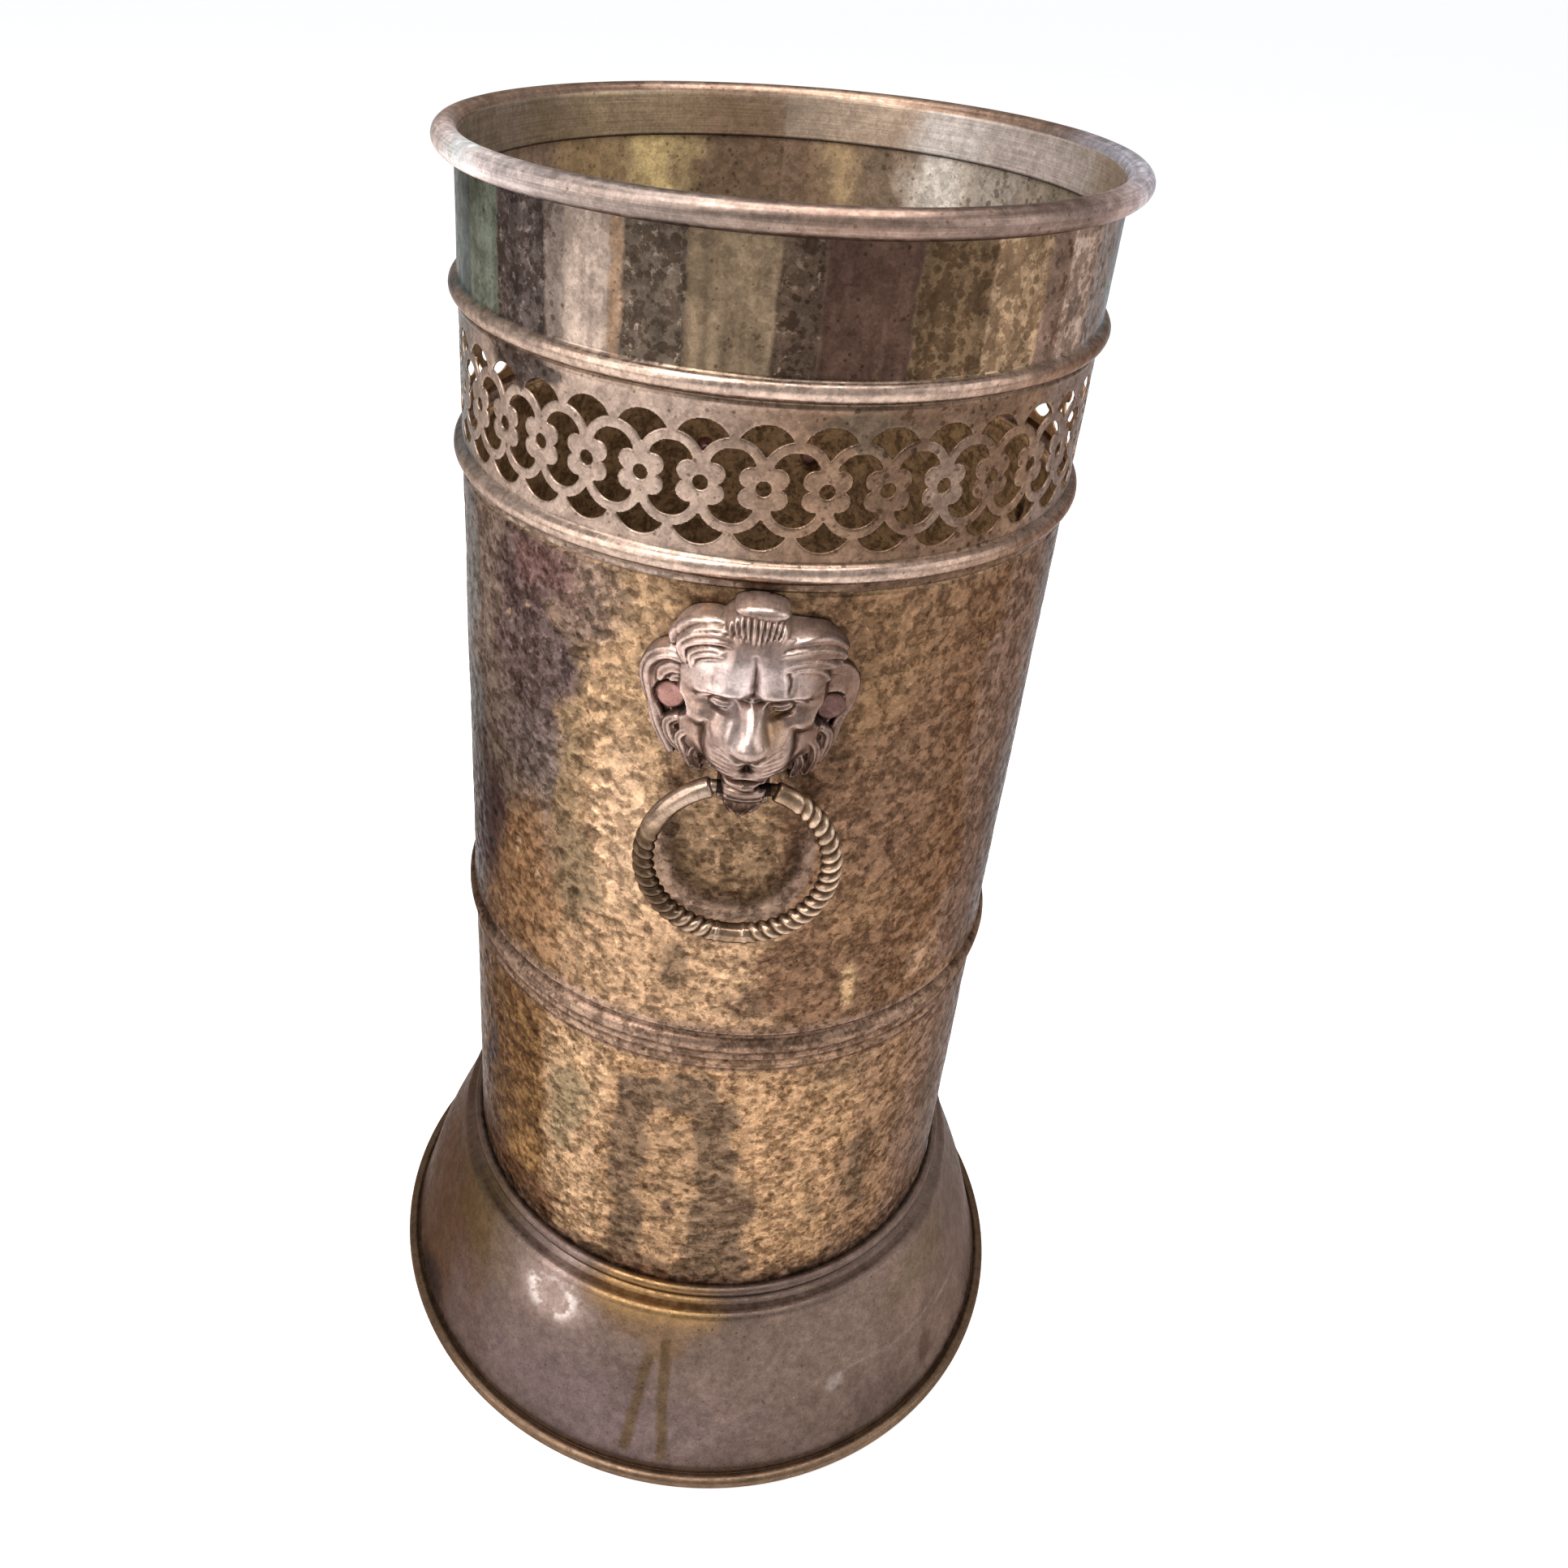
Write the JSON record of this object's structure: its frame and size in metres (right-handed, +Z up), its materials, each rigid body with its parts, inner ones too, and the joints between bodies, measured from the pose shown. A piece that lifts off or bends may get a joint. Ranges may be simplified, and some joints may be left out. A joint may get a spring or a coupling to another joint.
{
  "type": "umbrella stand",
  "caption": "Tall sheet-brass umbrella stand with a rolled rim, pierced gallery, hammered barrel, flared foot and lion masks that carry swinging ring handles.",
  "frame": {"origin": "on the floor, on the axis of the barrel", "axes": "+Z up along the barrel, -Y out of the front lion mask, +X to the right of somebody who looks at that mask"},
  "size_m": [0.2796, 0.2796, 0.5],
  "materials": {
    "rim_brass": "brown tarnish, worn satin",
    "gallery_brass": "polished once, spotted with tarnish",
    "hammered_brass": "planished, blotched with brown tarnish",
    "foot_brass": "dull brown tarnish",
    "pan_brass": "dull, stained",
    "mask_brass": "satin, rubbed bright on the high points",
    "ring_brass": "satin, dark in the grooves",
    "rivet_copper": "dull copper",
    "wire_steel": "bare wire, hidden in the rolls"
  },
  "bodies": {
    "stand": {"rim_collar": "rim_brass", "rim_wire": "wire_steel", "gallery_band": "gallery_brass", "barrel": "hammered_brass", "foot_skirt": "foot_brass", "foot_wire": "wire_steel", "bottom_pan": "pan_brass", "lion_mask_front": "mask_brass", "lion_mask_back": "mask_brass", "rivet_front_left": "rivet_copper", "rivet_front_right": "rivet_copper", "rivet_back_left": "rivet_copper", "rivet_back_right": "rivet_copper", "burr_front_left": "rivet_copper", "burr_front_right": "rivet_copper", "burr_back_left": "rivet_copper", "burr_back_right": "rivet_copper"},
    "front_ring": {"ring_handle_front": "ring_brass"},
    "back_ring": {"ring_handle_back": "ring_brass"}
  },
  "joints": [
    {"name": "front_ring_swing", "type": "hinge", "parent": "stand", "child": "front_ring", "pos_m": [0, -0.1125, 0.332], "axis": [-1, 0, 0], "range_deg": [-4, 110]},
    {"name": "back_ring_swing", "type": "hinge", "parent": "stand", "child": "back_ring", "pos_m": [0, 0.1125, 0.332], "axis": [1, 0, 0], "range_deg": [-4, 110]}
  ]
}
